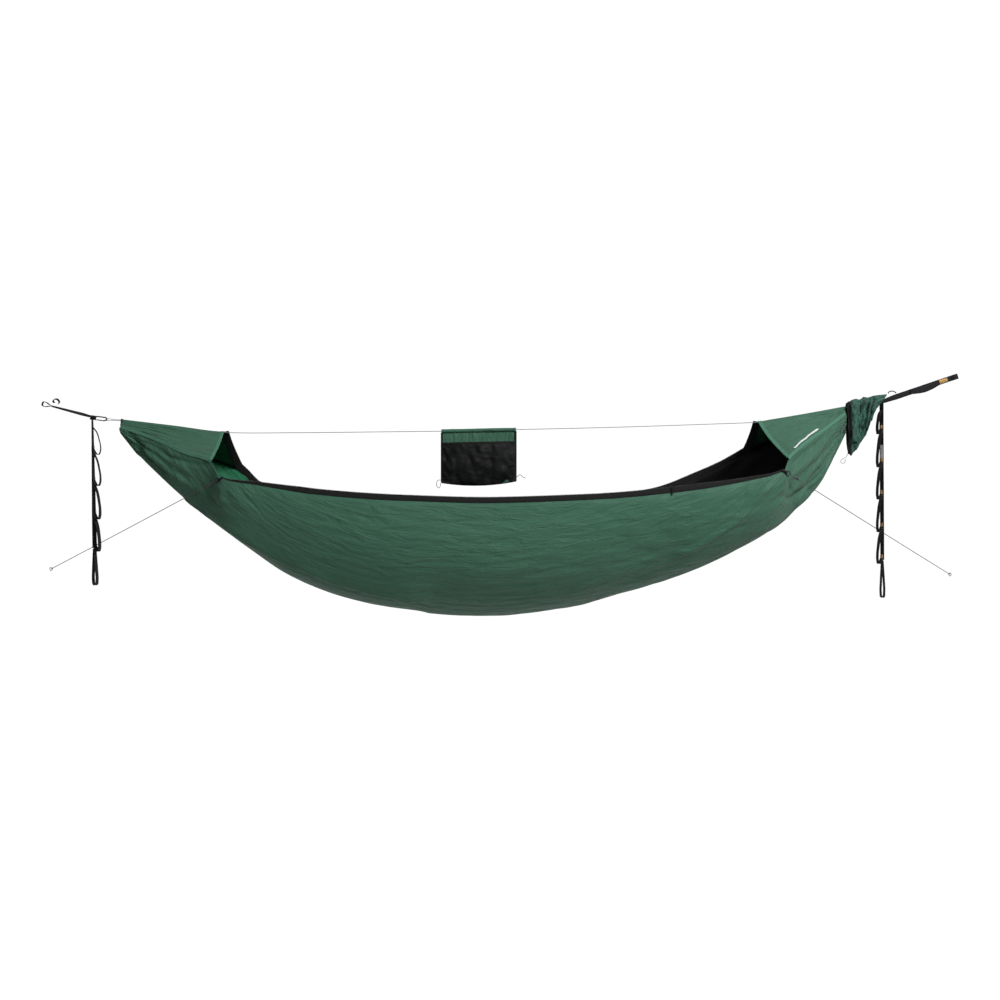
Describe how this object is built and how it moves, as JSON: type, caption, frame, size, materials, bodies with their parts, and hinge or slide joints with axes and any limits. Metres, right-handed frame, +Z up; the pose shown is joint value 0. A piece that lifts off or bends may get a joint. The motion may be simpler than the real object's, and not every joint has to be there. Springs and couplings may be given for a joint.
{
  "type": "camping hammock",
  "caption": "Gathered-end camping hammock with a hood at each end, zip edges, a stowed insect net, ridgeline organizer, daisy-chain tree straps, guy lines and stuff sack.",
  "frame": {"origin": "midway between the seats of the two tree loops, on the straight line between them, which the hammock swings about", "axes": "+X along the hammock towards the end where the insect net is stowed, +Y away from the open near side, +Z up"},
  "size_m": [3.2533, 0.6099, 0.8449],
  "materials": {
    "ripstop_green": "fine ripstop nylon with a slight sheen",
    "zip_tape_black": "woven zip tape, matte",
    "net_black": "fine insect mesh",
    "webbing_black": "flat woven webbing with gold bar tacks",
    "cord_grey": "thin braided cord",
    "cord_black": "thin braided cord",
    "anodised_black": "black anodised, satin",
    "plastic_black": "moulded, satin"
  },
  "bodies": {
    "tree_loops": {"left_tree_loop": "webbing_black", "right_tree_loop": "webbing_black"},
    "hammock": {"bed": "ripstop_green", "left_hood": "ripstop_green", "right_hood": "ripstop_green", "near_zip_tape": "zip_tape_black", "far_zip_tape": "zip_tape_black", "insect_net": "net_black", "ridgeline": "cord_grey", "left_carabiner": "anodised_black", "right_carabiner": "anodised_black", "left_end_knot": "cord_black", "right_end_knot": "cord_black", "left_end_cord": "cord_grey", "right_end_cord": "cord_grey", "left_strap": "webbing_black", "right_strap": "webbing_black", "left_strap_side_loop": "webbing_black", "right_strap_side_loop": "webbing_black", "left_tieout_tab": "webbing_black", "right_tieout_tab": "webbing_black", "left_tieout_ring": "anodised_black", "right_tieout_ring": "anodised_black"},
    "left_gate": {"left_carabiner_gate": "anodised_black"},
    "right_gate": {"right_carabiner_gate": "anodised_black"},
    "left_tail": {"left_tail_webbing": "webbing_black", "left_tail_loop_1": "webbing_black", "left_tail_loop_2": "webbing_black", "left_tail_loop_3": "webbing_black", "left_tail_loop_4": "webbing_black", "left_tail_end_loop": "webbing_black"},
    "right_tail": {"right_tail_webbing": "webbing_black", "right_tail_loop_1": "webbing_black", "right_tail_loop_2": "webbing_black", "right_tail_loop_3": "webbing_black", "right_tail_loop_4": "webbing_black", "right_tail_loop_5": "webbing_black", "right_tail_end_loop": "webbing_black"},
    "sleeve": {"organizer_sleeve": "ripstop_green"},
    "organizer": {"organizer_panel": "ripstop_green", "organizer_pocket": "net_black", "organizer_left_cord": "cord_black", "organizer_right_cord": "cord_black"},
    "near_slider": {"near_zip_slider": "anodised_black"},
    "near_pull": {"near_zip_pull": "anodised_black"},
    "far_slider": {"far_zip_slider": "anodised_black"},
    "far_pull": {"far_zip_pull": "anodised_black"},
    "left_guy": {"left_guyline": "cord_grey", "left_guy_end_loop": "cord_grey"},
    "right_guy": {"right_guyline": "cord_grey", "right_guy_end_loop": "cord_grey"},
    "left_lock": {"left_guy_lock": "plastic_black"},
    "right_lock": {"right_guy_lock": "plastic_black"},
    "sack": {"stuff_sack": "ripstop_green", "sack_drawcord": "cord_grey", "sack_haul_loop": "ripstop_green"}
  },
  "joints": [
    {"name": "hammock_swing", "type": "hinge", "parent": "tree_loops", "child": "hammock", "pos_m": [0, 0, 0], "axis": [0.9996, 0, 0.03], "range_deg": [-20, 20]},
    {"name": "left_tail_swing", "type": "hinge", "parent": "hammock", "child": "left_tail", "pos_m": [-1.4266, -0.004, -0.11549], "axis": [0, 1, 0], "range_deg": [-12, 25]},
    {"name": "right_tail_swing", "type": "hinge", "parent": "hammock", "child": "right_tail", "pos_m": [1.33254, -0.013, -0.05857], "axis": [0, 1, 0], "range_deg": [-25, 1]},
    {"name": "left_gate_open", "type": "hinge", "parent": "hammock", "child": "left_gate", "pos_m": [-1.38891, -0.00885, -0.10759], "axis": [-0.108, 0.5736, -0.812], "range_deg": [0, 18], "stiffness_Nm_per_rad": 0.05},
    {"name": "right_gate_open", "type": "hinge", "parent": "hammock", "child": "right_gate", "pos_m": [1.29225, 0, -0.05833], "axis": [0, -1, 0], "range_deg": [0, 18], "stiffness_Nm_per_rad": 0.05},
    {"name": "organizer_slide", "type": "slide", "parent": "hammock", "child": "sleeve", "axis": [0.9998, 0, 0.0211], "range_m": [-0.18, 0.18]},
    {"name": "organizer_swing", "type": "hinge", "parent": "sleeve", "child": "organizer", "pos_m": [-0.0745, 0, -0.14125], "axis": [0.9998, 0, 0.0211], "range_deg": [-60, 60]},
    {"name": "near_slider_slide", "type": "slide", "parent": "hammock", "child": "near_slider", "axis": [0.9906, 0.0832, 0.1086], "range_m": [-0.04, 0.04]},
    {"name": "near_pull_lift", "type": "hinge", "parent": "near_slider", "child": "near_pull", "pos_m": [0.57437, -0.28975, -0.34119], "axis": [0.9906, 0.0832, 0.1086], "range_deg": [-120, 0]},
    {"name": "far_slider_slide", "type": "slide", "parent": "hammock", "child": "far_slider", "axis": [0.9982, -0.0366, 0.0485], "range_m": [-0.04, 0.04]},
    {"name": "far_pull_lift", "type": "hinge", "parent": "far_slider", "child": "far_pull", "pos_m": [0.24463, 0.30195, -0.37566], "axis": [0.9982, -0.0366, 0.0485], "range_deg": [0, 120]},
    {"name": "left_guy_swing", "type": "hinge", "parent": "hammock", "child": "left_guy", "pos_m": [-0.95544, -0.21637, -0.31999], "axis": [0, 0, 1], "range_deg": [-8, 0]},
    {"name": "right_guy_swing", "type": "hinge", "parent": "hammock", "child": "right_guy", "pos_m": [0.97246, -0.21645, -0.29467], "axis": [0, 0, 1], "range_deg": [0, 8]},
    {"name": "left_lock_slide", "type": "slide", "parent": "left_guy", "child": "left_lock", "axis": [-0.7962, 0.4733, -0.3768], "range_m": [-0.02, 0.4]},
    {"name": "right_lock_slide", "type": "slide", "parent": "right_guy", "child": "right_lock", "axis": [0.7731, 0.4691, -0.4269], "range_m": [-0.02, 0.4]},
    {"name": "sack_swing", "type": "hinge", "parent": "hammock", "child": "sack", "pos_m": [1.212, 0, -0.059], "axis": [0.9886, 0, 0.1503], "range_deg": [-20, 20]}
  ]
}
